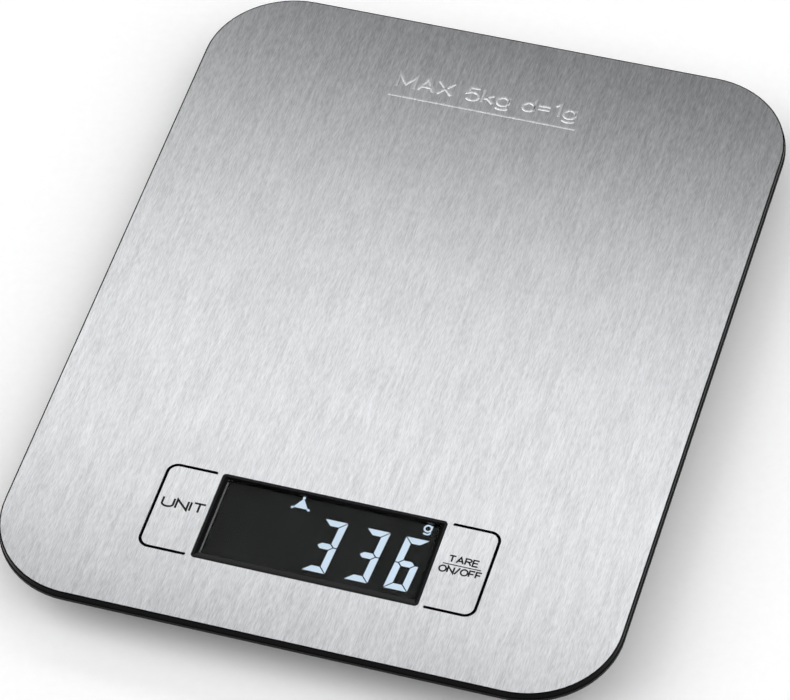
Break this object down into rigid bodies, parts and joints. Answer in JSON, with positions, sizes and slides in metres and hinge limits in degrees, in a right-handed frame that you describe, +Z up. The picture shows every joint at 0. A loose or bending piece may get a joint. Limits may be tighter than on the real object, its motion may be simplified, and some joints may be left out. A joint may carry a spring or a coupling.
{
  "type": "kitchen scale",
  "caption": "Flat digital kitchen scale: a brushed steel platform with flexing keys and a lit display, on a slim black housing that stands on load cell feet.",
  "frame": {"origin": "centre of the footprint, on the table under the rubber pads", "axes": "+Z up, +Y towards the back, away from the display and the keys, +X to the user's right"},
  "size_m": [0.18, 0.23, 0.017],
  "materials": {
    "platform_steel": "brushed along the depth of the scale",
    "housing_gloss": "gloss black moulding",
    "bezel_black": "gloss black moulding",
    "lens_clear": "clear acrylic",
    "lcd_glass": "dark negative liquid crystal cell",
    "light_guide": "frosted light guide",
    "led_white": "white LED block",
    "zebra_rubber": "layered conductive rubber",
    "white_plastic": "natural white moulding",
    "board_green": "solder mask",
    "chip_epoxy": "black epoxy blob",
    "screw_steel": "zinc plated",
    "cell_steel": "stamped spring alloy",
    "gauge_resin": "white potting silicone",
    "foot_plastic": "black moulding",
    "pad_rubber": "moulded rubber",
    "battery_wrap": "printed sleeve",
    "contact_nickel": "nickel plated",
    "lead_white": "insulated lead",
    "lead_red": "insulated lead",
    "lead_black": "insulated lead",
    "tape_white": "double-sided foam tape",
    "switch_black": "moulding"
  },
  "bodies": {
    "housing": {"steel_platform": "platform_steel", "platform_tape": "tape_white", "top_carrier": "housing_gloss", "base_shell": "housing_gloss", "display_bezel": "bezel_black", "display_lens": "lens_clear", "lcd_panel": "lcd_glass", "lcd_backlight": "light_guide", "backlight_led": "led_white", "zebra_strip": "zebra_rubber", "lcd_holder": "white_plastic", "lead_header": "white_plastic", "main_board": "board_green", "controller_chip": "chip_epoxy", "board_screws": "screw_steel", "housing_screws": "screw_steel", "load_cell_screws": "screw_steel", "unit_switch_housing": "switch_black", "tare_switch_housing": "switch_black", "battery_front": "battery_wrap", "battery_back": "battery_wrap", "battery_contact_negative": "contact_nickel", "battery_contact_positive": "contact_nickel", "battery_contact_bridge": "contact_nickel", "battery_lead_positive": "lead_red", "battery_lead_negative": "lead_black", "load_cell_front_left": "cell_steel", "strain_gauge_front_left": "gauge_resin", "load_cell_lead_front_left": "lead_white", "load_cell_front_right": "cell_steel", "strain_gauge_front_right": "gauge_resin", "load_cell_lead_front_right": "lead_white", "load_cell_back_left": "cell_steel", "strain_gauge_back_left": "gauge_resin", "load_cell_lead_back_left": "lead_white", "load_cell_back_right": "cell_steel", "strain_gauge_back_right": "gauge_resin", "load_cell_lead_back_right": "lead_white"},
    "unit_key": {"unit_key": "platform_steel", "unit_key_post": "white_plastic"},
    "tare_key": {"tare_key": "platform_steel", "tare_key_post": "white_plastic"},
    "unit_plunger": {"unit_switch_plunger": "white_plastic"},
    "tare_plunger": {"tare_switch_plunger": "white_plastic"},
    "battery_cover": {"battery_cover": "housing_gloss"},
    "foot_front_left": {"foot_front_left": "foot_plastic", "foot_pad_front_left": "pad_rubber", "foot_screw_front_left": "screw_steel"},
    "foot_front_right": {"foot_front_right": "foot_plastic", "foot_pad_front_right": "pad_rubber", "foot_screw_front_right": "screw_steel"},
    "foot_back_left": {"foot_back_left": "foot_plastic", "foot_pad_back_left": "pad_rubber", "foot_screw_back_left": "screw_steel"},
    "foot_back_right": {"foot_back_right": "foot_plastic", "foot_pad_back_right": "pad_rubber", "foot_screw_back_right": "screw_steel"}
  },
  "joints": [
    {"name": "unit_key_flex", "type": "hinge", "parent": "housing", "child": "unit_key", "pos_m": [-0.0337, -0.0789, 0.0167], "axis": [0, -1, 0], "range_deg": [0, 2], "stiffness_Nm_per_rad": 0.3},
    {"name": "tare_key_flex", "type": "hinge", "parent": "housing", "child": "tare_key", "pos_m": [0.0337, -0.0789, 0.0167], "axis": [0, 1, 0], "range_deg": [0, 2], "stiffness_Nm_per_rad": 0.3},
    {"name": "unit_plunger_slide", "type": "slide", "parent": "housing", "child": "unit_plunger", "axis": [0, 0, -1], "range_m": [0, 0.00026]},
    {"name": "tare_plunger_slide", "type": "slide", "parent": "housing", "child": "tare_plunger", "axis": [0, 0, -1], "range_m": [0, 0.00026]},
    {"name": "battery_cover_hinge", "type": "hinge", "parent": "housing", "child": "battery_cover", "pos_m": [0, 0.0202, 0.0031], "axis": [1, 0, 0], "range_deg": [0, 90]},
    {"name": "foot_slide_front_left", "type": "slide", "parent": "housing", "child": "foot_front_left", "axis": [0, 0, 1], "range_m": [0, 0.0005], "stiffness_N_per_m": 300, "springref_m": -0.004, "deforming": ["load_cell_front_left"]},
    {"name": "foot_slide_front_right", "type": "slide", "parent": "housing", "child": "foot_front_right", "axis": [0, 0, 1], "range_m": [0, 0.0005], "stiffness_N_per_m": 300, "springref_m": -0.004, "deforming": ["load_cell_front_right"]},
    {"name": "foot_slide_back_left", "type": "slide", "parent": "housing", "child": "foot_back_left", "axis": [0, 0, 1], "range_m": [0, 0.0005], "stiffness_N_per_m": 300, "springref_m": -0.004, "deforming": ["load_cell_back_left"]},
    {"name": "foot_slide_back_right", "type": "slide", "parent": "housing", "child": "foot_back_right", "axis": [0, 0, 1], "range_m": [0, 0.0005], "stiffness_N_per_m": 300, "springref_m": -0.004, "deforming": ["load_cell_back_right"]}
  ],
  "couplings": [
    {"joint": "unit_plunger_slide", "follows": "unit_key_flex", "m_per_rad": 0.007162},
    {"joint": "tare_plunger_slide", "follows": "tare_key_flex", "m_per_rad": 0.007162}
  ]
}
